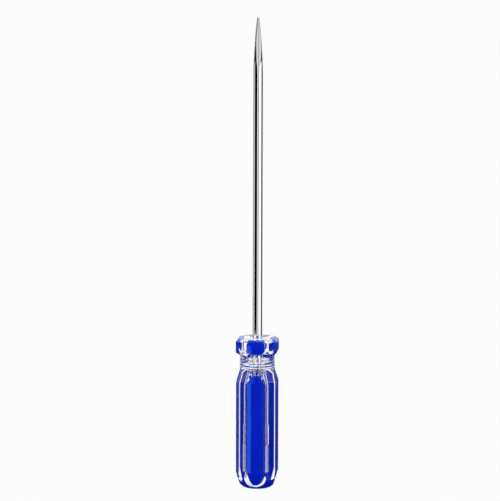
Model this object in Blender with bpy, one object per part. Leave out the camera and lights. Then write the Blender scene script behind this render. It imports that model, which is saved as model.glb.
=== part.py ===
"""Screwdriver with a reversible blade: clear fluted handle, blue panels, round steel bar.

The tool stands on its butt with the slotted tip up. The axis of the bar is Z and the origin is the
middle of the flat foot. Units are metres.
"""

import math

import bmesh
import bpy
from mathutils import Matrix, Vector

MM = 0.001

# Fits
CLEARANCE = 0.3 * MM
CUT_MARGIN = 1.0 * MM
MERGE_DISTANCE = 0.001 * MM

# Bar of the blade and how far it stands out of the handle
BLADE_DIAMETER = 6.0 * MM
BLADE_REACH = 200.0 * MM
BLADE_TURN = math.radians(12.0)

# Slotted end: both broad faces ground in two slopes, both narrow sides dressed by a large wheel
TIP_SIDES = 2
TIP_THICKNESS = 1.0 * MM
TIP_KNEE_LENGTH = 12.0 * MM
TIP_KNEE_THICKNESS = 3.4 * MM
TIP_GRIND_LENGTH = 31.0 * MM
TIP_SIDE_GRIND = 0.4 * MM
TIP_SIDE_LENGTH = 16.0 * MM
TIP_WHEEL_RADIUS = 165.0 * MM

# Cross end: a blunt cone with a flute between each two arms
CROSS_ARMS = 4
CROSS_NOSE_DIAMETER = 1.8 * MM
CROSS_CONE_LENGTH = 5.0 * MM
CROSS_ARM_THICKNESS = 1.8 * MM
CROSS_FLUTE_LENGTH = 9.0 * MM
CROSS_FLUTE_RUNOUT = 3.0 * MM

# Handle, turned shape
HANDLE_LENGTH = 94.5 * MM
FOOT_RADIUS = 6.0 * MM
BUTT_HEIGHT = 15.0 * MM
GRIP_RADIUS = 14.7 * MM
SHOULDER_LENGTH = 9.3 * MM
NECK_LENGTH = 8.15 * MM
NECK_RADIUS = 10.9 * MM
GROOVE_COUNT = 5
GROOVE_LAND = 0.53 * MM
GROOVE_DEPTH = 0.5 * MM

# Grip, panel faces that lean in at both ends, with a hollow flute up each corner between them
FACE_APOTHEM = 12.7 * MM
FACE_LEAN = math.radians(15.5)
FACE_LOW_BEND = 11.0 * MM
FACE_SHOULDER_RISE = 1.3 * MM
FLUTE_APOTHEM = 12.95 * MM
FLUTE_RADIUS = 21.5 * MM

# Collar, round at its corners, with a chamfer at each end and its own four panel faces
COLLAR_HEIGHT = 10.85 * MM
COLLAR_RADIUS = 15.2 * MM
COLLAR_TOP_RADIUS = 12.3 * MM
COLLAR_APOTHEM = 12.75 * MM
COLLAR_TOP_CHAMFER = 1.35 * MM
COLLAR_TOP_INSET = 1.45 * MM
COLLAR_LOW_CHAMFER = 2.6 * MM
COLLAR_LIP = 0.05 * MM

# Blue panels
PANEL_PROUD = 0.15 * MM
PANEL_COUNT = 4
GRIP_PANEL_THICKNESS = 1.4 * MM
GRIP_PANEL_WIDTH = 10.9 * MM
GRIP_PANEL_FOOT = 2.9 * MM
GRIP_PANEL_FOOT_WIDTH = 6.2 * MM
GRIP_PANEL_ARCH = 4.9 * MM
GRIP_PANEL_ARCH_WIDTH = 3.4 * MM
COLLAR_PANEL_THICKNESS = 3.6 * MM
COLLAR_PANEL_WIDTH = 11.4 * MM
COLLAR_PANEL_TOP_WIDTH = 8.2 * MM
COLLAR_PANEL_TOP_CUT = 1.9 * MM
COLLAR_PANEL_LOW_WIDTH = 6.4 * MM
COLLAR_PANEL_LOW_CUT = 2.0 * MM
COLLAR_PANEL_LOW_END = 1.8 * MM

# Drive socket and spring in the bore
BUTT_WALL = 10.0 * MM
SOCKET_SIDES = 6
SOCKET_FLOOR = 3.5 * MM
SOCKET_WALL = 0.7 * MM
SOCKET_GUIDE = 5.0 * MM
SPRING_WALL = 0.4 * MM
SPRING_LENGTH = 12.0 * MM
SPRING_SPLIT = math.radians(50.0)

# Facets of round shapes
BAR_SEGMENTS = 32
GRIP_SEGMENTS = 64
FLUTE_SEGMENTS = 120
ARC_STEPS = 8
GROOVE_STEPS = 4
SMOOTH_ANGLE = math.radians(30.0)

# Colours in linear red, green and blue
CLEAR_COLOUR = (0.93, 0.95, 0.98)
BLUE_COLOUR = (0.001, 0.016, 0.52)
PLATED_COLOUR = (0.72, 0.72, 0.73)
SINTERED_COLOUR = (0.35, 0.35, 0.36)
SPRING_COLOUR = (0.48, 0.47, 0.45)

# Sizes that follow from those above
BLADE_RADIUS = BLADE_DIAMETER / 2
BORE_RADIUS = BLADE_RADIUS + CLEARANCE
TIP_HALF_WIDTH = BLADE_RADIUS - TIP_SIDE_GRIND
GROOVE_PITCH = NECK_LENGTH / GROOVE_COUNT
GROOVE_WIDTH = GROOVE_PITCH - GROOVE_LAND
COLLAR_LOW_INSET = COLLAR_APOTHEM - NECK_RADIUS - COLLAR_LIP
COLLAR_BASE = HANDLE_LENGTH - COLLAR_HEIGHT
NECK_BASE = COLLAR_BASE - NECK_LENGTH
SHOULDER_BASE = NECK_BASE - SHOULDER_LENGTH
FACE_HIGH_BEND = SHOULDER_BASE + FACE_SHOULDER_RISE
GRIP_PANEL_TOP = FACE_HIGH_BEND + GRIP_PANEL_ARCH
SOCKET_BASE = BUTT_WALL + CLEARANCE
BLADE_BASE = SOCKET_BASE + SOCKET_FLOOR + CLEARANCE
BLADE_LENGTH = HANDLE_LENGTH + BLADE_REACH - BLADE_BASE
CROSS_TOP = BLADE_BASE + CROSS_FLUTE_LENGTH - 2 * CLEARANCE
SOCKET_TOP = CROSS_TOP + SOCKET_GUIDE
SPRING_BASE = SOCKET_TOP + CLEARANCE
SPRING_TOP = SPRING_BASE + SPRING_LENGTH
SPRING_OUTER = BORE_RADIUS + SPRING_WALL


def clear_scene():
    for item in list(bpy.data.objects):
        bpy.data.objects.remove(item, do_unlink=True)


def material(name, colour, roughness, metallic, transmission=0.0):
    made = bpy.data.materials.new(name)
    made.use_nodes = True
    shader = made.node_tree.nodes["Principled BSDF"]
    shader.inputs["Base Color"].default_value = (*colour, 1.0)
    shader.inputs["Roughness"].default_value = roughness
    shader.inputs["Metallic"].default_value = metallic
    shader.inputs["Transmission Weight"].default_value = transmission
    return made


def mesh_from(bm, name):
    bmesh.ops.remove_doubles(bm, verts=bm.verts, dist=MERGE_DISTANCE)
    bmesh.ops.recalc_face_normals(bm, faces=bm.faces)
    mesh = bpy.data.meshes.new(name)
    bm.to_mesh(mesh)
    bm.free()
    mesh.shade_smooth()
    mesh.set_sharp_from_angle(angle=SMOOTH_ANGLE)
    return mesh


def add_object(name, mesh, finish=None, base=0.0, turn=0.0):
    made = bpy.data.objects.new(name, mesh)
    bpy.context.scene.collection.objects.link(made)
    made.location.z = base
    made.rotation_euler.z = turn
    if finish and not mesh.materials:
        mesh.materials.append(finish)
    return made


def add_loft(bm, loops, turn=0.0):
    """One closed body through loops of points, with both ends capped."""
    spin = Matrix.Rotation(turn, 3, "Z")
    rings = [[bm.verts.new(spin @ Vector(point)) for point in loop] for loop in loops]
    for low, high in zip(rings, rings[1:]):
        for i in range(len(low)):
            j = (i + 1) % len(low)
            bm.faces.new((low[i], low[j], high[j], high[i]))
    bm.faces.new(reversed(rings[0]))
    bm.faces.new(rings[-1])


def lofted(name, loops, count=1, first_turn=0.0):
    """A mesh of the same lofted body, repeated evenly round Z."""
    bm = bmesh.new()
    for k in range(count):
        add_loft(bm, loops, first_turn + k * math.tau / count)
    return mesh_from(bm, name)


def turned(name, profile, segments):
    """A mesh turned round Z from (radius, height) points that start and end on the axis."""
    bm = bmesh.new()
    verts = [bm.verts.new((radius, 0.0, height)) for radius, height in profile]
    edges = [bm.edges.new(pair) for pair in zip(verts, verts[1:])]
    bmesh.ops.spin(bm, geom=verts + edges, cent=(0, 0, 0), axis=(0, 0, 1), angle=math.tau, steps=segments)
    return mesh_from(bm, name)


def change(target, cutter_mesh, base=0.0, turn=0.0):
    """Cuts a hidden helper shape out of the target by a Boolean modifier."""
    helper = add_object(cutter_mesh.name, cutter_mesh, base=base, turn=turn)
    helper.hide_render = True
    helper.display_type = "WIRE"
    modifier = target.modifiers.new(cutter_mesh.name, "BOOLEAN")
    modifier.operation = "DIFFERENCE"
    modifier.object = helper
    modifier.solver = "EXACT"


def rectangle(half_width, near, far, height):
    """Corners of a box section that faces -Y, between two distances from the axis."""
    return [
        (-half_width, -far, height),
        (half_width, -far, height),
        (half_width, -near, height),
        (-half_width, -near, height),
    ]


def regular(sides, apothem, height, first_angle=0.0):
    """Corners of a regular outline with its first flat facing first_angle."""
    reach = apothem / math.cos(math.pi / sides)
    angles = [first_angle + (k + 0.5) * math.tau / sides for k in range(sides)]
    return [(reach * math.cos(a), reach * math.sin(a), height) for a in angles]


def face_distance(height):
    """Axis to panel face of the grip, which leans in at both ends."""
    below = max(FACE_LOW_BEND - height, 0.0)
    above = max(height - FACE_HIGH_BEND, 0.0)
    return FACE_APOTHEM - math.tan(FACE_LEAN) * (below + above)


def collar_distance(height):
    """Axis to panel face of the collar, with its two chamfers."""
    below = max(COLLAR_BASE + COLLAR_LOW_CHAMFER - height, 0.0)
    above = max(height - HANDLE_LENGTH + COLLAR_TOP_CHAMFER, 0.0)
    low_slope = COLLAR_LOW_INSET / COLLAR_LOW_CHAMFER
    top_slope = COLLAR_TOP_INSET / COLLAR_TOP_CHAMFER
    return COLLAR_APOTHEM - low_slope * below - top_slope * above


def butt_arc():
    """Quarter ellipse from the foot to the full radius of the grip."""
    points = []
    for k in range(ARC_STEPS + 1):
        angle = math.pi / 2 * k / ARC_STEPS
        radius = FOOT_RADIUS + (GRIP_RADIUS - FOOT_RADIUS) * math.sin(angle)
        points.append((radius, BUTT_HEIGHT * (1 - math.cos(angle))))
    return points


def shoulder_curve():
    """Smooth double bend from the grip in to the neck."""
    points = []
    for k in range(ARC_STEPS + 1):
        share = k / ARC_STEPS
        swing = (1 + math.cos(math.pi * share)) / 2
        radius = NECK_RADIUS + (GRIP_RADIUS - NECK_RADIUS) * swing
        points.append((radius, SHOULDER_BASE + SHOULDER_LENGTH * share))
    return points


def neck_grooves():
    """Shallow rounded grooves, evenly spaced up the neck."""
    points = []
    for k in range(GROOVE_COUNT):
        middle = NECK_BASE + (k + 0.5) * GROOVE_PITCH
        for step in range(GROOVE_STEPS + 1):
            across = 2 * step / GROOVE_STEPS - 1
            depth = GROOVE_DEPTH * (1 - across * across)
            points.append((NECK_RADIUS - depth, middle + across * GROOVE_WIDTH / 2))
    return points


def collar_cones():
    """Collar from the neck out to its full radius and in again to its top."""
    return [
        (NECK_RADIUS, COLLAR_BASE),
        (COLLAR_RADIUS, COLLAR_BASE + COLLAR_LOW_CHAMFER),
        (COLLAR_RADIUS, HANDLE_LENGTH - COLLAR_TOP_CHAMFER),
        (COLLAR_TOP_RADIUS, HANDLE_LENGTH),
    ]


def handle_profile():
    profile = [(0.0, 0.0)] + butt_arc() + shoulder_curve() + neck_grooves() + collar_cones()
    return profile + [(0.0, HANDLE_LENGTH)]


def face_cutter_loops(heights, distance, apothem, outer):
    """Waste outside one panel face, a little wider than the face is on the round it is cut from."""
    half = math.sqrt(outer * outer - apothem * apothem) + CUT_MARGIN
    far = outer + CUT_MARGIN
    return [rectangle(half, distance(height), far, height) for height in heights]


def flute_cutter_loops():
    """Waste out of one hollow flute: a round bar along the grip, up to the neck."""
    middle = FLUTE_APOTHEM + FLUTE_RADIUS
    angles = [k * math.tau / FLUTE_SEGMENTS for k in range(FLUTE_SEGMENTS)]
    loops = []
    for height in (-CUT_MARGIN, NECK_BASE):
        ring = [(math.cos(angle), math.sin(angle)) for angle in angles]
        loops.append([(FLUTE_RADIUS * x, FLUTE_RADIUS * y - middle, height) for x, y in ring])
    return loops


def grip_panel_outline():
    """Heights and half widths of a grip panel, from the butt up to its arch."""
    full = GRIP_PANEL_WIDTH / 2
    return [
        (GRIP_PANEL_FOOT, GRIP_PANEL_FOOT_WIDTH / 2),
        (FACE_LOW_BEND, full),
        (FACE_HIGH_BEND, full),
        (GRIP_PANEL_TOP, GRIP_PANEL_ARCH_WIDTH / 2),
    ]


def collar_panel_outline():
    """Heights and half widths of a collar panel: an upright octagon that folds over both chamfers."""
    full = COLLAR_PANEL_WIDTH / 2
    low = COLLAR_BASE + COLLAR_PANEL_LOW_END
    high = HANDLE_LENGTH - CLEARANCE
    corners = [
        (low, COLLAR_PANEL_LOW_WIDTH / 2),
        (low + COLLAR_PANEL_LOW_CUT, full),
        (high - COLLAR_PANEL_TOP_CUT, full),
        (high, COLLAR_PANEL_TOP_WIDTH / 2),
    ]
    bends = [COLLAR_BASE + COLLAR_LOW_CHAMFER, HANDLE_LENGTH - COLLAR_TOP_CHAMFER]
    return sorted(corners + [(bend, width_at(corners, bend)) for bend in bends])


def width_at(corners, height):
    """Half width of an outline at a height between its corners."""
    for (low, low_width), (high, high_width) in zip(corners, corners[1:]):
        if low <= height <= high:
            share = (height - low) / (high - low)
            return low_width + share * (high_width - low_width)
    return corners[-1][1]


def panel_loops(outline, distance, thickness):
    loops = []
    for z, half in outline:
        front = distance(z) + PANEL_PROUD
        loops.append(rectangle(half, front - thickness, front, z))
    return loops


def pocket_loops(outline, distance, thickness, top_room):
    """The seat of a panel, larger by the clearance and open to the outside."""
    loops = []
    last = len(outline) - 1
    for k, (z, half) in enumerate(outline):
        height = z - CLEARANCE if k == 0 else z + top_room if k == last else z
        floor = distance(height) + PANEL_PROUD - thickness - CLEARANCE
        loops.append(rectangle(half + CLEARANCE, floor, distance(height) + CUT_MARGIN, height))
    return loops


def bore_profile():
    """Bore for the bar and the wider seat of the spring below it."""
    seat = SPRING_OUTER + CLEARANCE
    return [
        (0.0, SOCKET_BASE),
        (seat, SOCKET_BASE),
        (seat, SPRING_TOP + CLEARANCE),
        (BORE_RADIUS, SPRING_TOP + CLEARANCE),
        (BORE_RADIUS, HANDLE_LENGTH + CUT_MARGIN),
        (0.0, HANDLE_LENGTH + CUT_MARGIN),
    ]


def socket_loops(room):
    """Six-sided drive socket, or its seat in the handle when room is left round it."""
    apothem = BORE_RADIUS + SOCKET_WALL + room
    heights = (SOCKET_BASE - room, SOCKET_TOP + room)
    return [regular(SOCKET_SIDES, apothem, height, BLADE_TURN) for height in heights]


def make_handle(finish):
    grip = add_object("handle_grip", turned("handle_grip", handle_profile(), GRIP_SEGMENTS), finish)
    top = (GRIP_PANEL_TOP + NECK_BASE) / 2
    grip_heights = (-CUT_MARGIN, FACE_LOW_BEND, FACE_HIGH_BEND, top)
    grip_faces = face_cutter_loops(grip_heights, face_distance, FACE_APOTHEM, GRIP_RADIUS)
    change(grip, lofted("grip_faces", grip_faces, PANEL_COUNT))
    collar_heights = (
        COLLAR_BASE,
        COLLAR_BASE + COLLAR_LOW_CHAMFER,
        HANDLE_LENGTH - COLLAR_TOP_CHAMFER,
        HANDLE_LENGTH + CUT_MARGIN,
    )
    collar_faces = face_cutter_loops(collar_heights, collar_distance, COLLAR_APOTHEM, COLLAR_RADIUS)
    change(grip, lofted("collar_faces", collar_faces, PANEL_COUNT))
    half_step = math.pi / PANEL_COUNT
    change(grip, lofted("corner_flutes", flute_cutter_loops(), PANEL_COUNT, half_step))
    grip_seat = pocket_loops(grip_panel_outline(), face_distance, GRIP_PANEL_THICKNESS, CLEARANCE)
    change(grip, lofted("grip_panel_seats", grip_seat, PANEL_COUNT))
    collar_seat = pocket_loops(collar_panel_outline(), collar_distance, COLLAR_PANEL_THICKNESS, CUT_MARGIN)
    change(grip, lofted("collar_panel_seats", collar_seat, PANEL_COUNT))
    change(grip, turned("blade_bore", bore_profile(), BAR_SEGMENTS))
    change(grip, lofted("socket_seat", socket_loops(CLEARANCE)))


def make_panels(finish):
    grip_loops = panel_loops(grip_panel_outline(), face_distance, GRIP_PANEL_THICKNESS)
    grip_mesh = lofted("grip_panel", grip_loops)
    collar_loops = panel_loops(collar_panel_outline(), collar_distance, COLLAR_PANEL_THICKNESS)
    collar_mesh = lofted("collar_panel", collar_loops)
    for k, side in enumerate(("front", "right", "rear", "left")):
        turn = k * math.tau / PANEL_COUNT
        add_object("grip_panel_" + side, grip_mesh, finish, turn=turn)
        add_object("collar_panel_" + side, collar_mesh, finish, turn=turn)


def make_socket(finish):
    socket = add_object("drive_socket", lofted("drive_socket", socket_loops(0.0)), finish)
    guide = [
        (0.0, CROSS_TOP),
        (BORE_RADIUS, CROSS_TOP),
        (BORE_RADIUS, SOCKET_TOP + CUT_MARGIN),
        (0.0, SOCKET_TOP + CUT_MARGIN),
    ]
    change(socket, turned("socket_guide", guide, BAR_SEGMENTS))
    arm = CROSS_ARM_THICKNESS / 2 + CLEARANCE
    heights = (SOCKET_BASE + SOCKET_FLOOR, CROSS_TOP + CLEARANCE)
    slot = [rectangle(arm, -BORE_RADIUS, BORE_RADIUS, height) for height in heights]
    for k in range(CROSS_ARMS // 2):
        change(socket, lofted("socket_slot", slot), turn=BLADE_TURN + k * math.tau / CROSS_ARMS)


def make_spring(finish):
    loops = []
    steps = BAR_SEGMENTS
    for k in range(steps + 1):
        angle = SPRING_SPLIT / 2 + (math.tau - SPRING_SPLIT) * k / steps
        section = [
            (BORE_RADIUS, SPRING_BASE),
            (SPRING_OUTER, SPRING_BASE),
            (SPRING_OUTER, SPRING_TOP),
            (BORE_RADIUS, SPRING_TOP),
        ]
        loops.append([(r * math.cos(angle), r * math.sin(angle), z) for r, z in section])
    add_object("grip_spring", lofted("grip_spring", loops), finish)


def tip_face_loops():
    """Waste outside one broad face of the slotted tip, measured down from the end of the bar."""
    slope = (BLADE_RADIUS - TIP_KNEE_THICKNESS / 2) / (TIP_GRIND_LENGTH - TIP_KNEE_LENGTH)
    runout = BLADE_RADIUS + CUT_MARGIN * slope
    far = BLADE_RADIUS + CUT_MARGIN
    stations = [
        (-CUT_MARGIN, TIP_THICKNESS / 2),
        (0.0, TIP_THICKNESS / 2),
        (TIP_KNEE_LENGTH, TIP_KNEE_THICKNESS / 2),
        (TIP_GRIND_LENGTH + CUT_MARGIN, runout),
    ]
    return [rectangle(far, near, far, BLADE_LENGTH - drop) for drop, near in stations]


def tip_side_loops():
    """Waste outside one narrow side of the slotted tip, ending in the wheel's long run-out."""
    far = BLADE_RADIUS + CUT_MARGIN
    loops = [rectangle(far, TIP_HALF_WIDTH, far, BLADE_LENGTH + CUT_MARGIN)]
    reach = math.sqrt(2 * TIP_WHEEL_RADIUS * (TIP_SIDE_GRIND + CLEARANCE))
    for k in range(ARC_STEPS + 1):
        along = reach * k / ARC_STEPS
        near = TIP_HALF_WIDTH + along * along / (2 * TIP_WHEEL_RADIUS)
        loops.append(rectangle(far, near, far, BLADE_LENGTH - TIP_SIDE_LENGTH - along))
    return loops


def cross_flute_loops():
    """One square-cornered flute of the cross end, which slopes out at its top."""
    near = CROSS_ARM_THICKNESS / 2
    far = BLADE_RADIUS + CUT_MARGIN
    corners = [(near, near), (far, near), (far, far), (near, far)]
    low = [(x, y, -CUT_MARGIN) for x, y in corners]
    rise = CROSS_FLUTE_RUNOUT / (far - near)
    high = [(x, y, CROSS_FLUTE_LENGTH + rise * (max(x, y) - near)) for x, y in corners]
    return [low, high]


def make_blade(finish):
    profile = [
        (0.0, 0.0),
        (CROSS_NOSE_DIAMETER / 2, 0.0),
        (BLADE_RADIUS, CROSS_CONE_LENGTH),
        (BLADE_RADIUS, BLADE_LENGTH),
        (0.0, BLADE_LENGTH),
    ]
    mesh = turned("blade", profile, BAR_SEGMENTS)
    blade = add_object("blade", mesh, finish, base=BLADE_BASE, turn=BLADE_TURN)
    place = {"base": BLADE_BASE, "turn": BLADE_TURN}
    change(blade, lofted("tip_faces", tip_face_loops(), TIP_SIDES, math.pi / 2), **place)
    change(blade, lofted("tip_sides", tip_side_loops(), TIP_SIDES), **place)
    change(blade, lofted("cross_flutes", cross_flute_loops(), CROSS_ARMS), **place)


def main():
    clear_scene()
    acetate = material("clear_acetate", CLEAR_COLOUR, roughness=0.06, metallic=0.0, transmission=1.0)
    blue = material("panel_blue", BLUE_COLOUR, roughness=0.25, metallic=0.0)
    plated = material("plated_steel", PLATED_COLOUR, roughness=0.15, metallic=1.0)
    sintered = material("sintered_steel", SINTERED_COLOUR, roughness=0.45, metallic=1.0)
    sprung = material("spring_steel", SPRING_COLOUR, roughness=0.30, metallic=1.0)
    make_handle(acetate)
    make_panels(blue)
    make_socket(sintered)
    make_spring(sprung)
    make_blade(plated)


main()
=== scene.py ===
# Screwdriver with a clear, blue-panelled handle and a blade that pulls out, in a white studio
import math

import bmesh
import bpy
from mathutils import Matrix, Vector


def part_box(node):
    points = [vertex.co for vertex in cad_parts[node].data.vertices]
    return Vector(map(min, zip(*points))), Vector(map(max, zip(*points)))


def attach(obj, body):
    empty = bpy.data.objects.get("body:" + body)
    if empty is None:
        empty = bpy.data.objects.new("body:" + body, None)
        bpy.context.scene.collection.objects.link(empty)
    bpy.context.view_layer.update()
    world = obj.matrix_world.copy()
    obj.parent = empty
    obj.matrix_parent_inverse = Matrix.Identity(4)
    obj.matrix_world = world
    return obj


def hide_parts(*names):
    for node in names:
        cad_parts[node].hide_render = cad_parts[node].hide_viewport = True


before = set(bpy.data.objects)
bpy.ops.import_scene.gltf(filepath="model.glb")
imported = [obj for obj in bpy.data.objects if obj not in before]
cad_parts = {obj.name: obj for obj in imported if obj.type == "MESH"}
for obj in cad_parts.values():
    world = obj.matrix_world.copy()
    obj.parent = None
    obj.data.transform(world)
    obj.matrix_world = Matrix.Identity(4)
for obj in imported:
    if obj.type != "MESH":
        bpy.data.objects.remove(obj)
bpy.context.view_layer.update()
mm = 0.001
wide = 1.0  # a flat this far out cuts nothing
tiny = 0.0001  # keeps a division off zero
weld = 0.0005 * mm  # points closer than this are one point
sharpAngle = math.radians(32)  # edges that turn more than this are not shaded smooth
white = (1.0, 1.0, 1.0, 1.0)


class Wire:  # a socket in a node tree, with arithmetic on it
    def __init__(self, graph, socket):
        self.graph = graph
        self.socket = socket

    def out(self, name):
        return Wire(self.graph, self.socket.node.outputs[name])

    def math(self, operation, *others):
        return self.graph.node("ShaderNodeMath", {"operation": operation}, dict(enumerate((self, *others))))

    def reflected(self, operation, other):
        return self.graph.node("ShaderNodeMath", {"operation": operation}, {0: other, 1: self})

    def __add__(self, other):
        return self.math("ADD", other)

    def __radd__(self, other):
        return self.math("ADD", other)

    def __sub__(self, other):
        return self.math("SUBTRACT", other)

    def __rsub__(self, other):
        return self.reflected("SUBTRACT", other)

    def __mul__(self, other):
        return self.math("MULTIPLY", other)

    def __rmul__(self, other):
        return self.math("MULTIPLY", other)

    def __truediv__(self, other):
        return self.math("DIVIDE", other)

    def __rtruediv__(self, other):
        return self.reflected("DIVIDE", other)


class Graph:  # a node tree that is wired in plain expressions
    def __init__(self, tree):
        self.tree = tree

    def node(self, kind, settings=None, sockets=None):
        made = self.tree.nodes.new(kind)
        for name, value in (settings or {}).items():
            setattr(made, name, value)
        for name, value in (sockets or {}).items():
            if isinstance(value, Wire):
                self.tree.links.new(value.socket, made.inputs[name])
            else:
                made.inputs[name].default_value = value
        return Wire(self, made.outputs[0]) if made.outputs else made

    def vector(self, operation, *values):
        return self.node("ShaderNodeVectorMath", {"operation": operation}, dict(enumerate(values)))

    def mixed(self, share, first, second):  # two colours
        return self.node("ShaderNodeMix", {"data_type": "RGBA"}, {0: share, 6: first, 7: second}).out(2)

    def eased(self, value, low, high):  # 0 below low, 1 above high, smooth between
        settings = {"interpolation_type": "SMOOTHSTEP"}
        return self.node("ShaderNodeMapRange", settings, {0: value, 1: low, 2: high})

    def noise(self, place, scale, detail=2.0):
        return self.node("ShaderNodeTexNoise", None, {"Vector": place, "Scale": scale, "Detail": detail})

    def lines(self, place, around, along, detail=2.0):  # noise that is drawn out round or along the axis
        scale = (around, around, along)
        stretched = self.node("ShaderNodeMapping", None, {"Vector": place, "Scale": scale})
        return self.noise(stretched, 1.0, detail)

    def bumped(self, height, distance, strength=1.0):
        sockets = {"Strength": strength, "Distance": distance, "Height": height}
        return self.node("ShaderNodeBump", None, sockets)


def opaque(colour):
    return (*colour, 1.0)


# Finishes

def newFinish(name):
    made = bpy.data.materials.new(name)
    made.use_nodes = True
    graph = Graph(made.node_tree)
    shader = made.node_tree.nodes["Principled BSDF"]
    place = graph.node("ShaderNodeTexCoord").out("Object")
    return made, graph, shader, place


def wireUp(graph, shader, **values):  # sockets of the finish's shader
    for name, value in values.items():
        socket = shader.inputs[name.replace("_", " ")]
        if isinstance(value, Wire):
            graph.tree.links.new(value.socket, socket)
        else:
            socket.default_value = value


clearLook = {
    "tint": (0.985, 0.988, 0.995),
    "deepTint": (0.965, 0.970, 0.990),
    "tintScale": 60.0,
    "roughness": 0.012,
    "scuff": 0.03,
    "scuffScale": 900.0,
    "scuffRange": (0.55, 0.8),
    "ior": 1.475,
    "ripple": 0.008 * mm,
    "rippleScale": 180.0,
}


def makeClearFinish():
    look = clearLook
    made, graph, shader, place = newFinish("clearAcetate")
    ripple = graph.noise(place, look["rippleScale"], detail=1.0)
    scuffs = graph.eased(graph.noise(place, look["scuffScale"], detail=3.0), *look["scuffRange"])
    clouds = graph.noise(place, look["tintScale"])
    tint = graph.mixed(clouds, opaque(look["tint"]), opaque(look["deepTint"]))
    wireUp(graph, shader, Base_Color=tint, Normal=graph.bumped(ripple, look["ripple"]))
    wireUp(graph, shader, Roughness=look["roughness"] + look["scuff"] * scuffs)
    wireUp(graph, shader, Transmission_Weight=1.0, IOR=look["ior"])
    return made


blueLook = {
    "colour": (0.0003, 0.011, 0.51),
    "paler": (0.0006, 0.0155, 0.575),
    "cloudScale": 140.0,
    "cloudRange": (0.3, 0.7),
    "paintedLitBack": (0.0018, 0.024, 0.74),  # sides and back painted a paler blue: painted light, for the light they catch through the clear plastic
    "faceRange": (0.5, 0.7),  # what looks further outwards than this is the face
    "roughness": 0.14,
    "grain": 0.05,
    "grainScale": 2500.0,
    "grainDepth": 0.006 * mm,
    "specular": 0.5,
    "specularTint": (0.12, 0.42, 1.0),
}


def makeBlueFinish():
    look = blueLook
    made, graph, shader, place = newFinish("panelBlue")
    clouds = graph.eased(graph.noise(place, look["cloudScale"], detail=3.0), *look["cloudRange"])
    grain = graph.noise(place, look["grainScale"])
    outward = graph.vector("NORMALIZE", graph.vector("MULTIPLY", place, (1.0, 1.0, 0.0)))
    facing = graph.vector("DOT_PRODUCT", place.out("Normal"), outward).out("Value")
    colour = graph.mixed(clouds, opaque(look["colour"]), opaque(look["paler"]))
    # what faces inwards or sideways takes the paler blue: painted light on the panel's back and sides
    colour = graph.mixed(graph.eased(facing, *look["faceRange"]), opaque(look["paintedLitBack"]), colour)
    wireUp(graph, shader, Base_Color=colour, Normal=graph.bumped(grain, look["grainDepth"]))
    wireUp(graph, shader, Roughness=look["roughness"] + look["grain"] * grain)
    wireUp(graph, shader, Specular_IOR_Level=look["specular"], Specular_Tint=opaque(look["specularTint"]))
    return made


steelLook = {
    "colour": (0.80, 0.80, 0.82),
    "darker": (0.70, 0.70, 0.73),
    "groundColour": (0.66, 0.67, 0.70),
    "roughness": 0.025,
    "drawnRough": 0.015,
    "groundRoughness": 0.34,
    "scratchRough": 0.12,
    "drawnAround": 5000.0,  # drawing lines run along the bar
    "drawnAlong": 6.0,
    "groundAlong": 4000.0,  # grinding lines run across the tip
    "groundAround": 40.0,
    "lineDepth": 0.0004 * mm,
    "scratchDepth": 3.0,  # times as deep as a drawing line
    "groundFrom": 0.12 * mm,  # a face this far below the round bar is ground
}


def makeSteelFinish(barRadius):
    look = steelLook
    made, graph, shader, place = newFinish("platedSteel")
    axes = graph.node("ShaderNodeSeparateXYZ", None, {"Vector": place})
    x, y = axes.out("X"), axes.out("Y")
    depth = barRadius - (x * x + y * y).math("SQRT")
    ground = graph.eased(depth, look["groundFrom"] / 2, look["groundFrom"])
    drawn = graph.lines(place, look["drawnAround"], look["drawnAlong"])
    scratched = graph.lines(place, look["groundAround"], look["groundAlong"], detail=3.0)
    plated = graph.mixed(drawn, opaque(look["colour"]), opaque(look["darker"]))
    colour = graph.mixed(ground, plated, opaque(look["groundColour"]))
    height = drawn + ground * (scratched * look["scratchDepth"] - drawn)
    smooth = look["roughness"] + look["drawnRough"] * drawn
    rough = look["groundRoughness"] + look["scratchRough"] * scratched
    wireUp(graph, shader, Base_Color=colour, Metallic=1.0, Normal=graph.bumped(height, look["lineDepth"]))
    wireUp(graph, shader, Roughness=smooth + ground * (rough - smooth))
    return made


socketLook = {
    # both socket colours are tinted blue: painted reflection of the blue panels round the socket, on grey
    # steel
    "colour": (0.46, 0.50, 0.78),
    "shadedPitColour": (0.36, 0.40, 0.68),
    "pitScale": 3500.0,
    "pitRange": (0.35, 0.65),
    "pitDepth": 0.02 * mm,
    "pitStrength": 0.6,
    "roughness": 0.24,
    "smoother": 0.08,  # between the pits
}


def makeSocketFinish():
    look = socketLook
    made, graph, shader, place = newFinish("sinteredSteel")
    pits = graph.eased(graph.noise(place, look["pitScale"], detail=4.0), *look["pitRange"])
    bump = graph.bumped(pits, look["pitDepth"], look["pitStrength"])
    # the low spots of the pits are painted darker: painted shade in the pits
    colour = graph.mixed(pits, opaque(look["shadedPitColour"]), opaque(look["colour"]))
    wireUp(graph, shader, Base_Color=colour, Metallic=1.0, Normal=bump)
    wireUp(graph, shader, Roughness=look["roughness"] - look["smoother"] * pits)
    return made


springLook = {
    # both spring colours are tinted blue: painted reflection of the blue panels round the spring, on grey
    # steel
    "colour": (0.50, 0.54, 0.80),
    "darker": (0.36, 0.40, 0.68),
    "rolledAround": 300.0,  # rolling lines run round the sleeve
    "rolledAlong": 6000.0,
    "roughness": 0.22,
    "rolledRough": 0.15,
}


def makeSpringFinish():
    look = springLook
    made, graph, shader, place = newFinish("springSteel")
    rolled = graph.lines(place, look["rolledAround"], look["rolledAlong"])
    colour = graph.mixed(rolled, opaque(look["colour"]), opaque(look["darker"]))
    wireUp(graph, shader, Base_Color=colour, Metallic=1.0)
    wireUp(graph, shader, Roughness=look["roughness"] + look["rolledRough"] * rolled)
    return made


# Shapes that follow a rule

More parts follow.
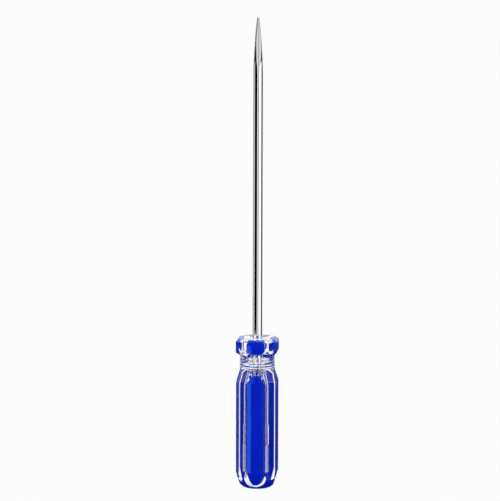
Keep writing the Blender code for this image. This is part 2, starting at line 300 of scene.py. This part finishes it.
def newTree(name, inputs):
    tree = bpy.data.node_groups.new(name, "GeometryNodeTree")
    for label, kind in inputs.items():
        tree.interface.new_socket(label, in_out="INPUT", socket_type=kind)
    tree.interface.new_socket("Piece", in_out="OUTPUT", socket_type="NodeSocketGeometry")
    return tree, Graph(tree)


def endTree(graph, shape, finish):
    realized = graph.node("GeometryNodeRealizeInstances", None, {0: shape})
    painted = graph.node("GeometryNodeSetMaterial", None, {"Geometry": realized, "Material": finish})
    graph.node("NodeGroupOutput", None, {0: painted})


def makeTurningTree():  # a turned body with flats and flutes: one ring of points for each station
    tree, graph = newTree("facetedTurning", {
        "Stations": "NodeSocketGeometry", "Around": "NodeSocketInt", "Flats": "NodeSocketInt",
        "Flutes": "NodeSocketInt", "Hollow": "NodeSocketFloat", "Softness": "NodeSocketFloat",
        "Turn": "NodeSocketFloat", "Finish": "NodeSocketMaterial",
    })
    given = graph.node("NodeGroupInput")
    stations = given.out("Stations")
    around = given.out("Around")
    softness = given.out("Softness")
    rings = graph.node("GeometryNodeAttributeDomainSize", {"component": "MESH"}, {0: stations})
    grid = graph.node("GeometryNodeMeshGrid", None, {"Vertices X": around + 1, "Vertices Y": rings})
    index = graph.node("GeometryNodeInputIndex")
    column = (index / rings).math("FLOOR")
    ring = index - column * rings

    def station(name):
        number = {"data_type": "FLOAT"}
        value = graph.node("GeometryNodeInputNamedAttribute", number, {"Name": name})
        return graph.node("GeometryNodeSampleIndex", number, {0: stations, "Value": value, "Index": ring})

    def folded(angle, step):  # angle from the nearest of the even directions, a step apart
        return ((angle + step / 2).math("FLOORED_MODULO", step) - step / 2).math("ABSOLUTE")

    angle = column / around * math.tau
    flatStep = math.tau / given.out("Flats")
    fromFlat = folded(angle, flatStep)
    fromArm = folded(angle, math.tau / given.out("Flutes"))
    fromCorner = flatStep / 2 - fromFlat
    hollowRadius = given.out("Hollow")
    hollowMiddle = station("hollow")
    hollowAside = hollowMiddle * fromCorner.math("SINE")
    hollowReach = (hollowRadius * hollowRadius - hollowAside * hollowAside).math("MAXIMUM", 0.0).math("SQRT")
    reach = station("turned")
    limits = [
        station("flat") / fromFlat.math("COSINE").math("MAXIMUM", tiny),
        station("between") / fromCorner.math("COSINE").math("MAXIMUM", tiny),
        station("flute") / fromArm.math("SINE").math("MAXIMUM", tiny),
        hollowMiddle * fromCorner.math("COSINE") - hollowReach,
    ]
    for limit in limits:
        reach = reach.math("SMOOTH_MIN", limit, softness)
    heading = angle + given.out("Turn")
    place = graph.node("ShaderNodeCombineXYZ", None, {
        "X": reach * heading.math("COSINE"), "Y": reach * heading.math("SINE"), "Z": station("height"),
    })
    bent = graph.node("GeometryNodeSetPosition", None, {"Geometry": grid, "Position": place})
    closed = graph.node("GeometryNodeMergeByDistance", None, {"Geometry": bent, "Distance": weld})
    endTree(graph, closed, given.out("Finish"))
    return tree


def makeRoundTree():  # the same shape, evenly round the axis
    tree, graph = newTree("roundTheAxis", {
        "Shape": "NodeSocketGeometry", "Count": "NodeSocketInt", "Finish": "NodeSocketMaterial",
    })
    given = graph.node("NodeGroupInput")
    count = given.out("Count")
    points = graph.node("GeometryNodeMeshLine", None, {"Count": count, "Offset": (0.0, 0.0, 0.0)})
    angle = graph.node("GeometryNodeInputIndex") / count * math.tau
    turn = graph.node("ShaderNodeCombineXYZ", None, {"Z": angle})
    copies = graph.node("GeometryNodeInstanceOnPoints", None, {
        "Points": points, "Instance": given.out("Shape"), "Rotation": turn,
    })
    endTree(graph, copies, given.out("Finish"))
    return tree


def tidyMesh(mesh):
    bm = bmesh.new()
    bm.from_mesh(mesh)
    bmesh.ops.remove_doubles(bm, verts=bm.verts, dist=weld)
    bmesh.ops.dissolve_degenerate(bm, edges=bm.edges, dist=weld)
    bmesh.ops.recalc_face_normals(bm, faces=bm.faces)
    bm.to_mesh(mesh)
    bm.free()
    mesh.shade_smooth()
    mesh.set_sharp_from_angle(angle=sharpAngle)


def newObject(name, data):
    made = bpy.data.objects.new(name, data)
    bpy.context.scene.collection.objects.link(made)
    return made


def settled(made):  # the evaluated shape as a plain mesh, with no modifier left
    graph = bpy.context.evaluated_depsgraph_get()
    mesh = bpy.data.meshes.new_from_object(made.evaluated_get(graph))
    made.modifiers.clear()
    made.data = mesh
    tidyMesh(mesh)
    return made


def grown(name, mesh, tree, **inputs):  # runs a tree on a starting mesh
    made = newObject(name, mesh)
    modifier = made.modifiers.new(tree.name, "NODES")
    modifier.node_group = tree
    keys = {item.name: item.identifier for item in tree.interface.items_tree}
    for label, value in inputs.items():
        modifier[keys[label.capitalize()]] = value
    return settled(made)


def stationMesh(name, stations):  # each station is a dictionary of its sizes
    mesh = bpy.data.meshes.new(name)
    mesh.from_pydata([(0.0, 0.0, s["height"]) for s in stations], [], [])
    for label in ("height", "turned", "flat", "between", "flute", "hollow"):
        values = mesh.attributes.new(label, "FLOAT", "POINT")
        values.data.foreach_set("value", [s.get(label, wide) for s in stations])
    return mesh


def closedMesh(name, bm):
    mesh = bpy.data.meshes.new(name)
    bm.to_mesh(mesh)
    bm.free()
    tidyMesh(mesh)
    return mesh


def rounded(points, reach, steps=4):  # an outline with its inner corners turned into short curves
    curve = [points[0]]
    for before, corner, after in zip(points, points[1:], points[2:]):
        start = corner + (before - corner).normalized() * min(reach, (before - corner).length / 2)
        end = corner + (after - corner).normalized() * min(reach, (after - corner).length / 2)
        for k in range(steps + 1):
            share = k / steps
            curve.append(start.lerp(corner, share).lerp(corner.lerp(end, share), share))
    return curve + [points[-1]]


def spread(low, high, steps):  # evenly from low to high
    return [low + (high - low) * k / steps for k in range(steps + 1)]


def along(curve, height):  # reach of an outline that only rises
    for low, high in zip(curve, curve[1:]):
        if low.y <= height <= high.y and high.y > low.y:
            return low.x + (high.x - low.x) * (height - low.y) / (high.y - low.y)
    return curve[-1].x if height > curve[-1].y else curve[0].x


# Clear handle

gripLow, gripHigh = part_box("grip_panel_front")
collarLow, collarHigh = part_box("collar_panel_front")
bladeLow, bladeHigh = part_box("blade")
socketLow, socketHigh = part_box("drive_socket")
springLow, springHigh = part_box("grip_spring")
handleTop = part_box("handle_grip")[1].z

handleShape = {
    "panelFace": -gripLow.y,
    "panelProud": 0.15 * mm,
    "footRadius": 6.0 * mm,
    "buttHeight": 15.0 * mm,
    "buttSteps": 30,
    "gripRadius": 14.7 * mm,
    "gripSteps": 14,
    "fluteFloor": 12.95 * mm,
    "fluteRadius": 21.5 * mm,
    "lean": math.radians(15.5),
    "lowBend": 11.0 * mm,
    "highBend": 67.5 * mm,
    "shoulderBase": 66.2 * mm,
    "shoulderSteps": 30,
    "neckBase": 75.5 * mm,
    "neckRadius": 10.9 * mm,
    "grooves": 5,
    "grooveLand": 0.2 * mm,
    "grooveDepth": 0.62 * mm,
    "grooveSteps": 10,
    "around": 320,
    "softness": 0.08 * mm,
}
collarShape = {
    "panelFace": -collarLow.y,
    "base": 83.65 * mm,
    "radius": 15.2 * mm,
    "fluteFloor": 14.8 * mm,
    "topRadius": 12.3 * mm,
    "lip": 0.05 * mm,
    "lowChamfer": 2.6 * mm,
    "topChamfer": 1.35 * mm,
    "topInset": 1.45 * mm,
    "edge": 0.4 * mm,
    "edgeSteps": 6,
}
boreShape = {
    "radius": 3.3 * mm,
    "mouth": 6.6 * mm,  # the top of the collar reaches in to here
    "springSeat": 4.0 * mm,
    "edge": 0.2 * mm,
}
seatShape = {"apothem": 4.0 * mm, "over": 0.1 * mm, "flats": 6, "around": 48}


def faceDistance(height):  # axis to the middle of a grip panel
    shape = handleShape
    past = max(shape["lowBend"] - height, 0.0) + max(height - shape["highBend"], 0.0)
    return shape["panelFace"] - math.tan(shape["lean"]) * past


def gripStation(height, turned):
    shape = handleShape
    flat = faceDistance(height) - shape["panelProud"]
    floor = shape["fluteFloor"]
    if height > shape["shoulderBase"]:  # the flutes run on up the shoulder
        floor -= shape["gripRadius"] - turned
    return {"height": height, "turned": turned, "flat": flat, "hollow": floor + shape["fluteRadius"]}


def gripStations():
    shape = handleShape
    full = shape["gripRadius"]
    stations = [{"height": 0.0, "turned": 0.0}]
    for angle in spread(0.0, math.pi / 2, shape["buttSteps"]):
        turned = shape["footRadius"] + (full - shape["footRadius"]) * math.sin(angle)
        stations.append(gripStation(shape["buttHeight"] * (1 - math.cos(angle)), turned))
    for height in spread(shape["buttHeight"], shape["shoulderBase"], shape["gripSteps"])[1:-1]:
        stations.append(gripStation(height, full))
    rise = shape["neckBase"] - shape["shoulderBase"]
    for share in spread(0.0, 1.0, shape["shoulderSteps"]):
        swing = (1 + math.cos(math.pi * share)) / 2
        turned = shape["neckRadius"] + (full - shape["neckRadius"]) * swing
        stations.append(gripStation(shape["shoulderBase"] + rise * share, turned))
    return stations


def neckStations():
    shape = handleShape
    stations = []
    pitch = (collarShape["base"] - shape["neckBase"]) / shape["grooves"]
    half = (pitch - shape["grooveLand"]) / 2
    for k in range(shape["grooves"]):
        middle = shape["neckBase"] + (k + 0.5) * pitch
        for across in spread(-1.0, 1.0, shape["grooveSteps"]):
            depth = shape["grooveDepth"] * (1 - abs(across))  # a plain V
            stations.append({"height": middle + across * half, "turned": shape["neckRadius"] - depth})
    return stations


def collarFaces():  # middle of a collar panel against height
    shape = collarShape
    low = handleShape["neckRadius"] + shape["lip"] + handleShape["panelProud"]
    return [
        Vector((low, shape["base"])),
        Vector((shape["panelFace"], shape["base"] + shape["lowChamfer"])),
        Vector((shape["panelFace"], handleTop - shape["topChamfer"])),
        Vector((shape["panelFace"] - shape["topInset"], handleTop)),
    ]


def collarDistance(height):  # axis to the middle of a collar panel
    return along(rounded(collarFaces(), collarShape["edge"]), height)


def collarStations():
    shape = collarShape
    cones = [
        Vector((handleShape["neckRadius"], shape["base"])),
        Vector((shape["radius"], shape["base"] + shape["lowChamfer"])),
        Vector((shape["radius"], handleTop - shape["topChamfer"])),
        Vector((shape["topRadius"], handleTop)),
        Vector((boreShape["mouth"], handleTop)),
    ]
    curve = rounded(cones, shape["edge"], shape["edgeSteps"])[:-1]
    rising = [p for p in curve if p.y < handleTop]
    heights = {p.y for p in rising + rounded(collarFaces(), shape["edge"]) if p.y < rising[-1].y}
    points = [Vector((along(rising, h), h)) for h in sorted(heights)] + [rising[-1]] + curve[len(rising):]
    hollow = shape["fluteFloor"] + handleShape["fluteRadius"]
    stations = []
    for p in points:
        flat = collarDistance(p.y) - handleShape["panelProud"]
        stations.append({"height": p.y, "turned": p.x, "flat": flat, "hollow": hollow})
    return stations


def boreStations():
    shape = boreShape
    seatTop = springHigh.z + (springLow.z - socketHigh.z)
    outline = [
        Vector((shape["mouth"], handleTop)),
        Vector((shape["radius"], handleTop)),
        Vector((shape["radius"], seatTop)),
        Vector((shape["springSeat"], seatTop)),
        Vector((shape["springSeat"], socketHigh.z)),
        Vector((0.0, socketHigh.z)),
    ]
    return [{"height": p.y, "turned": p.x} for p in rounded(outline, shape["edge"])]


# Blue panels

panelShape = {
    "bevelWidth": 2.55 * mm,
    "bevelDepth": 0.4 * mm,
    "bevelColumns": 7,
    "foldGap": 0.05 * mm,  # columns stand this far from the fold of the bevel
    "faceColumns": 8,
    "edgeWidth": 0.2 * mm,
    "edgeDepth": 0.12 * mm,
    "edgeColumns": 4,
    "cornerReach": 1.0 * mm,
    "cornerSteps": 6,
    "leastHalf": 0.05 * mm,  # no row is narrower
    "count": 4,
    "bond": 0.03 * mm,  # pocket walls lie this far inside the panel, so no air shows between
    "pocketProud": 1.0 * mm,
    "pocketSteps": 12,
}
gripPanel = {
    "depth": 1.4 * mm,
    "footHalf": 1.6 * mm,
    "heelHalf": 3.3 * mm,
    "heelRise": 2.0 * mm,
    "topHalf": 1.7 * mm,
    "steps": 36,
    "distance": faceDistance,
}
gripPanel["outline"] = [  # half the panel, from the bottom up
    Vector((0.0, gripLow.z)),
    Vector((gripPanel["footHalf"], gripLow.z)),
    Vector((gripPanel["heelHalf"], gripLow.z + gripPanel["heelRise"])),
    Vector((gripHigh.x, handleShape["lowBend"])),
    Vector((gripHigh.x, handleShape["highBend"])),
    Vector((gripPanel["topHalf"], gripHigh.z)),
    Vector((0.0, gripHigh.z)),
]
collarPanel = {
    "depth": 3.6 * mm,
    "footHalf": 3.2 * mm,
    "footRise": 2.0 * mm,
    "topHalf": 4.1 * mm,
    "topDrop": 1.9 * mm,
    "steps": 24,
    "distance": collarDistance,
}
collarPanel["outline"] = [
    Vector((0.0, collarLow.z)),
    Vector((collarPanel["footHalf"], collarLow.z)),
    Vector((collarHigh.x, collarLow.z + collarPanel["footRise"])),
    Vector((collarHigh.x, collarHigh.z - collarPanel["topDrop"])),
    Vector((collarPanel["topHalf"], collarHigh.z)),
    Vector((0.0, collarHigh.z)),
]


def panelCurve(panel):  # its outline with the corners rounded
    return rounded(panel["outline"], panelShape["cornerReach"], panelShape["cornerSteps"])


def panelHeights(curve, steps):
    low, high = curve[0].y, curve[-1].y
    return sorted({round(h, 8) for h in spread(low, high, steps) + [p.y for p in curve]})


def insetIn(curve, x, height):  # distance from a point on the panel to its outline
    point = Vector((abs(x), height))
    nearest = wide
    for low, high in zip(curve, curve[1:]):
        edge = (high - low).normalized()
        nearest = min(nearest, abs(edge.x * (point.y - low.y) - edge.y * (point.x - low.x)))
    return nearest


def crownDrop(inset):  # how far the face falls from its flat middle to its bevel and its rounded edge
    bevel = max(1 - inset / panelShape["bevelWidth"], 0.0)
    edge = max(1 - inset / panelShape["edgeWidth"], 0.0)
    return panelShape["bevelDepth"] * bevel + panelShape["edgeDepth"] * edge * edge


def panelColumns(half):  # close together at the edge and at the fold of the bevel
    shape = panelShape
    edge, fold, gap = shape["edgeWidth"], shape["bevelWidth"], shape["foldGap"]
    insets = spread(0.0, edge, shape["edgeColumns"])
    insets += spread(edge, fold - gap, shape["bevelColumns"])[1:]
    insets += spread(fold + gap, half, shape["faceColumns"])
    side = [1 - inset / half for inset in insets]
    return [-share for share in side[:-1]] + side[::-1]


def panelMesh(name, panel):
    curve = panelCurve(panel)
    heights = panelHeights(curve, panel["steps"])
    shares = panelColumns(max(p.x for p in curve))
    bm = bmesh.new()
    front, back = [], []
    for height in heights:
        half = max(along(curve, height), panelShape["leastHalf"])
        y = -panel["distance"](height)
        frontRow, backRow = [], []
        for share in shares:
            x = share * half
            frontRow.append(bm.verts.new((x, y + crownDrop(insetIn(curve, x, height)), height)))
            backRow.append(bm.verts.new((x, y + panel["depth"], height)))
        front.append(frontRow)
        back.append(backRow)
    last = len(shares) - 1
    for r in range(len(heights) - 1):
        for k in range(last):
            bm.faces.new((front[r][k], front[r][k + 1], front[r + 1][k + 1], front[r + 1][k]))
            bm.faces.new((back[r][k], back[r + 1][k], back[r + 1][k + 1], back[r][k + 1]))
        for k in (0, last):
            bm.faces.new((front[r][k], front[r + 1][k], back[r + 1][k], back[r][k]))
    for r in (0, len(heights) - 1):
        for k in range(last):
            bm.faces.new((front[r][k], front[r][k + 1], back[r][k + 1], back[r][k]))
    return closedMesh(name, bm)


def pocketMesh(name, panel):  # what a panel takes out of the clear handle
    curve = panelCurve(panel)
    bond = panelShape["bond"]
    bm = bmesh.new()
    rings = []
    for level in panelHeights(curve[1:-1], panelShape["pocketSteps"]):
        half = along(curve, level) - bond
        height = min(max(level, curve[0].y + bond), curve[-1].y - bond)
        floor = panel["distance"](height) - panel["depth"] + bond
        outer = panel["distance"](height) + panelShape["pocketProud"]
        corners = [(-half, outer), (half, outer), (half, floor), (-half, floor)]
        rings.append([bm.verts.new((x, -out, height)) for x, out in corners])
    for lower, upper in zip(rings, rings[1:]):
        for i in range(4):
            j = (i + 1) % 4
            bm.faces.new((lower[i], lower[j], upper[j], upper[i]))
    bm.faces.new(rings[0])
    bm.faces.new(rings[-1])
    return closedMesh(name, bm)


def cut(made, cutters):
    for cutter in cutters:
        modifier = made.modifiers.new(cutter.name, "BOOLEAN")
        modifier.operation = "DIFFERENCE"
        modifier.solver = "MANIFOLD"
        modifier.object = cutter
    settled(made)
    for cutter in cutters:
        bpy.data.objects.remove(cutter)


# Blade

bladeShape = {
    "radius": 3.0 * mm,
    "turn": math.radians(12.0),
    "noseRadius": 0.9 * mm,
    "coneLength": 5.0 * mm,
    "armHalf": 0.9 * mm,
    "arms": 4,
    "fluteLength": 9.0 * mm,
    "fluteRunout": 3.0 * mm,
    "fluteClear": 1.1,  # times the bar's radius, where a flute has run out
    "crossSteps": 30,
    "barSteps": 12,
    "tipHalf": 0.5 * mm,
    "tipSides": 2,  # narrow ones, with a broad face between each two
    "kneeLength": 12.0 * mm,
    "kneeHalf": 1.7 * mm,
    "grindLength": 31.0 * mm,
    "grindFade": 12.0 * mm,
    "sideHalf": 2.6 * mm,
    "sideLength": 16.0 * mm,
    "wheelRadius": 165.0 * mm,
    "tipSteps": 70,
    "around": 192,
    "softness": 0.8 * mm,
    "edge": 0.12 * mm,
}


def broadHalf(drop):  # axis to a broad face of the slotted tip, down from its end
    shape = bladeShape
    if drop <= shape["kneeLength"]:
        return shape["tipHalf"] + (shape["kneeHalf"] - shape["tipHalf"]) * drop / shape["kneeLength"]
    slope = (shape["radius"] - shape["kneeHalf"]) / (shape["grindLength"] - shape["kneeLength"])
    return shape["kneeHalf"] + slope * (drop - shape["kneeLength"])


def narrowHalf(drop):  # axis to a narrow side, which runs out on the curve of the wheel
    past = max(drop - bladeShape["sideLength"], 0.0)
    return bladeShape["sideHalf"] + past * past / (2 * bladeShape["wheelRadius"])


def bladeStations():
    shape = bladeShape
    radius = shape["radius"]
    stations = [{"height": bladeLow.z, "turned": 0.0}]
    for up in spread(0.0, shape["fluteLength"] + shape["fluteRunout"], shape["crossSteps"]):
        cone = shape["noseRadius"] + (radius - shape["noseRadius"]) * up / shape["coneLength"]
        past = max(up - shape["fluteLength"], 0.0) / shape["fluteRunout"]
        flute = shape["armHalf"] + (radius * shape["fluteClear"] - shape["armHalf"]) * past ** 2
        stations.append({"height": bladeLow.z + up, "turned": min(cone, radius), "flute": flute})
    ground = bladeHigh.z - shape["grindLength"] - shape["grindFade"]
    for height in spread(stations[-1]["height"], ground, shape["barSteps"])[1:]:
        stations.append({"height": height, "turned": radius})
    for height in spread(ground, bladeHigh.z - shape["edge"], shape["tipSteps"])[1:]:
        drop = bladeHigh.z - height
        flat, between = narrowHalf(drop), broadHalf(drop)
        stations.append({"height": height, "turned": radius, "flat": flat, "between": between})
    flat, between = shape["sideHalf"] - shape["edge"], shape["tipHalf"] - shape["edge"]
    stations.append({"height": bladeHigh.z, "turned": radius, "flat": flat, "between": between})
    stations.append({"height": bladeHigh.z, "turned": 0.0})
    return stations


# Making the pieces

clearFinish = makeClearFinish()
blueFinish = makeBlueFinish()
steelFinish = makeSteelFinish(bladeShape["radius"])
turningTree = makeTurningTree()
roundTree = makeRoundTree()


def makePanels(name, panel, nodes):
    made = grown(name, panelMesh(name, panel), roundTree, count=panelShape["count"], finish=blueFinish)
    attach(made, "handle")
    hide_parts(*nodes)
    print(name, len(made.data.polygons), "faces")


def makePocket(name, panel):
    return grown(name, pocketMesh(name, panel), roundTree, count=panelShape["count"])


def makeSeat():  # what the drive socket takes out of the clear handle
    shape = seatShape
    apothem = shape["apothem"] - panelShape["bond"]
    low, high = socketLow.z + panelShape["bond"], socketHigh.z + shape["over"]
    mesh = stationMesh("socketSeat", [
        {"height": low, "turned": 0.0},
        {"height": low, "flat": apothem},
        {"height": high, "flat": apothem},
        {"height": high, "turned": 0.0},
    ])
    return grown(
        "socketSeat", mesh, turningTree, around=shape["around"],
        flats=shape["flats"], flutes=bladeShape["arms"], turn=bladeShape["turn"],
    )


def makeHandle():
    shape = handleShape
    stations = gripStations() + neckStations() + collarStations() + boreStations()
    made = grown(
        "clear_handle", stationMesh("clear_handle", stations), turningTree, around=shape["around"],
        flats=panelShape["count"], flutes=panelShape["count"], hollow=shape["fluteRadius"],
        softness=shape["softness"], finish=clearFinish,
    )
    gripPocket = makePocket("gripPocket", gripPanel)
    collarPocket = makePocket("collarPocket", collarPanel)
    cut(made, [gripPocket, collarPocket, makeSeat()])
    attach(made, "handle")
    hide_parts("handle_grip")
    print("clear handle", len(made.data.polygons), "faces")


def makeBlade():
    shape = bladeShape
    made = grown(
        "steel_blade", stationMesh("steel_blade", bladeStations()), turningTree, around=shape["around"],
        flats=shape["tipSides"], flutes=shape["arms"], softness=shape["softness"],
        turn=shape["turn"] - math.pi / 2, finish=steelFinish,
    )
    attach(made, "blade")
    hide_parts("blade")
    print("blade", len(made.data.polygons), "faces")


sides = ("front", "right", "rear", "left")
makePanels("grip_panels", gripPanel, ["grip_panel_" + side for side in sides])
makePanels("collar_panels", collarPanel, ["collar_panel_" + side for side in sides])
makeHandle()
makeBlade()
for node, finish in (("drive_socket", makeSocketFinish()), ("grip_spring", makeSpringFinish())):
    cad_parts[node].data.materials.clear()
    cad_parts[node].data.materials.append(finish)
print("socket and spring finished")


# Camera, from where the tool stands in the 500 by 501 picture

cameraView = {
    "azimuth": math.radians(5.2),
    "elevation": math.radians(9.0),
    "distance": 4.0,
    "roll": math.radians(0.15),
    "imageWidth": 500.0,
    "pixelSize": 0.62 * mm,
    "middleColumn": 250.0,
    "middleRow": 250.5,
    "axisColumn": 257.65,  # the bar's axis, at the middle row
    "footRow": 488.2,
    "sensor": 36.0,
    "clipEnd": 50.0,
}


def makeCamera():
    view = cameraView
    aside, ahead = math.sin(view["azimuth"]), math.cos(view["azimuth"])
    level = math.cos(view["elevation"])
    back = Vector((aside * level, -ahead * level, math.sin(view["elevation"])))
    right = Vector((ahead, aside, 0.0))
    height = (view["footRow"] - view["middleRow"]) * view["pixelSize"] / level
    offset = (view["axisColumn"] - view["middleColumn"]) * view["pixelSize"]
    target = Vector((0.0, 0.0, height)) - right * offset
    data = bpy.data.cameras.new("camera")
    data.sensor_fit = "HORIZONTAL"
    data.sensor_width = view["sensor"]
    data.lens = view["sensor"] * view["distance"] / (view["imageWidth"] * view["pixelSize"])
    data.clip_end = view["clipEnd"]
    made = newObject("camera", data)
    made.matrix_world = back.to_track_quat("Z", "Y").to_matrix().to_4x4()
    made.rotation_euler.rotate_axis("Z", view["roll"])
    made.location = target + back * view["distance"]
    bpy.context.scene.camera = made


# White studio

studio = {
    "worldLevel": 0.62,
    "floorRadius": 6.0,
    "floorSides": 96,
    "floorColour": (0.9, 0.9, 0.9),
    "floorWhite": 0.93,  # share of the floor that shows as plain white, the rest takes shadow
    "lampTarget": Vector((0.0, 0.0, 0.12)),
    "cardSteps": 12,
}


def seenDirectly(graph):  # 1 for what the camera sees, straight or through metal and glass
    path = graph.node("ShaderNodeLightPath")
    seen = path.out("Is Camera Ray") + path.out("Is Glossy Ray") + path.out("Is Transmission Ray")
    return seen.math("MINIMUM", 1.0)


def emptyFinish(name):
    made = bpy.data.materials.new(name)
    made.use_nodes = True
    made.node_tree.nodes.clear()
    return made, Graph(made.node_tree)


def makeWorld():
    world = bpy.data.worlds.new("whiteStudio")
    world.use_nodes = True
    world.node_tree.nodes.clear()
    graph = Graph(world.node_tree)
    strength = studio["worldLevel"] + seenDirectly(graph) * (1.0 - studio["worldLevel"])
    sky = graph.node("ShaderNodeBackground", None, {"Color": white, "Strength": strength})
    graph.node("ShaderNodeOutputWorld", None, {"Surface": sky})
    bpy.context.scene.world = world


def makeFloor():
    bm = bmesh.new()
    bmesh.ops.create_circle(bm, cap_ends=True, segments=studio["floorSides"], radius=studio["floorRadius"])
    mesh = bpy.data.meshes.new("floor")
    bm.to_mesh(mesh)
    bm.free()
    made = newObject("floor", mesh)
    paper, graph = emptyFinish("whitePaper")
    matt = graph.node("ShaderNodeBsdfDiffuse", None, {"Color": opaque(studio["floorColour"])})
    plain = graph.node("ShaderNodeEmission", None, {"Color": white, "Strength": 1.0})
    share = seenDirectly(graph) * studio["floorWhite"]
    mixed = graph.node("ShaderNodeMixShader", None, {0: share, 1: matt, 2: plain})
    graph.node("ShaderNodeOutputMaterial", None, {"Surface": mixed})
    mesh.materials.append(paper)
    made.visible_glossy = False  # so that the cards may reach below it


def polar(azimuth, distance, height):  # a place round the tool, azimuth 0 in front
    angle = math.radians(azimuth)
    return Vector((math.sin(angle) * distance, -math.cos(angle) * distance, height))


lamps = {
    "leftBox": {"azimuth": -24.0, "distance": 1.6, "height": 0.6, "size": (0.55, 1.2), "power": 6.0},
    "rightBox": {"azimuth": 48.0, "distance": 1.8, "height": 0.6, "size": (0.7, 1.2), "power": 3.0},
    "topBox": {"azimuth": -10.0, "distance": 0.5, "height": 1.8, "size": (1.2, 1.0), "power": 3.0},
}


def makeLamp(name, setup):
    data = bpy.data.lights.new(name, "AREA")
    data.shape = "RECTANGLE"
    data.size, data.size_y = setup["size"]
    data.energy = setup["power"]
    made = newObject(name, data)
    made.location = polar(setup["azimuth"], setup["distance"], setup["height"])
    toward = studio["lampTarget"] - made.location
    made.rotation_euler = toward.to_track_quat("-Z", "Y").to_euler()
    made.visible_camera = False


tipRing = {"distance": 0.08, "base": 0.258, "top": 0.6}
kneeRing = {"distance": 0.08, "base": 0.2, "top": 0.258}  # the bar's stripes, where the tip begins
barRing = {"distance": 0.8, "base": -0.04, "top": 0.17}
underRing = {"distance": 0.8, "base": -0.2, "top": -0.04}  # this and the next show from higher up
lowRing = {"distance": 1.5, "base": -2.0, "top": -0.24}
highRing = {"distance": 0.78, "base": 0.18}
gripRing = {"distance": 0.08, "base": -0.03, "top": 0.082}
footRing = {"distance": 0.001, "far": 0.079, "base": -0.03, "top": -0.03}  # lies flat
cards = {  # only gloss sees them: they draw the stripes on the bar and keep the blue deep
    "tipLeft": {**tipRing, "from": -150.0, "to": -18.0, "level": 0.02},
    "tipFront": {**tipRing, "from": -18.0, "to": 60.0, "level": 0.85},
    "tipRight": {**tipRing, "from": 60.0, "to": 160.0, "level": 0.02},
    "tipBack": {**tipRing, "from": 160.0, "to": 210.0, "level": 0.8},
    "shoulderLeft": {**highRing, "from": -80.0, "to": -36.0, "top": 1.1, "level": 3.0},
    "shoulderRight": {**highRing, "from": 50.0, "to": 104.0, "top": 0.46, "level": 2.0},
    "archFront": {**highRing, "from": -20.0, "to": 10.0, "top": 0.6, "level": 0.0},
    "gripLeft": {**gripRing, "from": -180.0, "to": -45.0, "level": 0.07},
    "gripStrip": {**gripRing, "from": -32.0, "to": -13.0, "level": 4.5},
    "gripFront": {**gripRing, "from": -12.0, "to": 12.0, "level": 0.0},
    "gripRight": {**gripRing, "from": 40.0, "to": 180.0, "level": 0.07},
    "underFoot": {**footRing, "from": -180.0, "to": 180.0, "level": 0.0},
}
barStripes = {
    "BackLeft": {"from": -158.0, "to": -135.0, "level": 0.05},
    "LeftEdge": {"from": -135.0, "to": -72.0, "level": 0.6},
    "Left": {"from": -72.0, "to": -12.0, "level": 0.0},
    "Middle": {"from": -12.0, "to": 8.0, "level": 1.0},
    "Front": {"from": 8.0, "to": 28.0, "level": 0.55},
    "White": {"from": 28.0, "to": 88.0, "level": 1.5},
    "Right": {"from": 88.0, "to": 168.0, "level": 0.12},
    "Back": {"from": 168.0, "to": 202.0, "level": 1.2},
}
for label, stripe in barStripes.items():
    cards["bar" + label] = {**barRing, **stripe}
    cards["knee" + label] = {**kneeRing, **stripe}
    cards["low" + label] = {**lowRing, **stripe}
    if label in ("BackLeft", "LeftEdge", "Right", "Back"):  # not in front of the tool
        cards["under" + label] = {**underRing, **stripe}


def makeCard(name, setup):
    angles = spread(setup["from"], setup["to"], studio["cardSteps"])
    low = [polar(angle, setup["distance"], setup["base"]) for angle in angles]
    high = [polar(angle, setup.get("far", setup["distance"]), setup["top"]) for angle in angles]
    row = len(angles)
    faces = [(k, k + 1, row + k + 1, row + k) for k in range(row - 1)]
    mesh = bpy.data.meshes.new(name)
    mesh.from_pydata(low + high, [], faces)
    made = newObject(name, mesh)
    board, graph = emptyFinish(name)
    glow = graph.node("ShaderNodeEmission", None, {"Color": white, "Strength": setup["level"]})
    graph.node("ShaderNodeOutputMaterial", None, {"Surface": glow})
    mesh.materials.append(board)
    made.visible_camera = False
    made.visible_diffuse = False
    made.visible_transmission = False
    made.visible_shadow = False


makeCamera()
makeWorld()
makeFloor()
for name, setup in lamps.items():
    makeLamp(name, setup)
for name, setup in cards.items():
    makeCard(name, setup)
bpy.context.scene.view_settings.view_transform = "Standard"
print("studio ready")
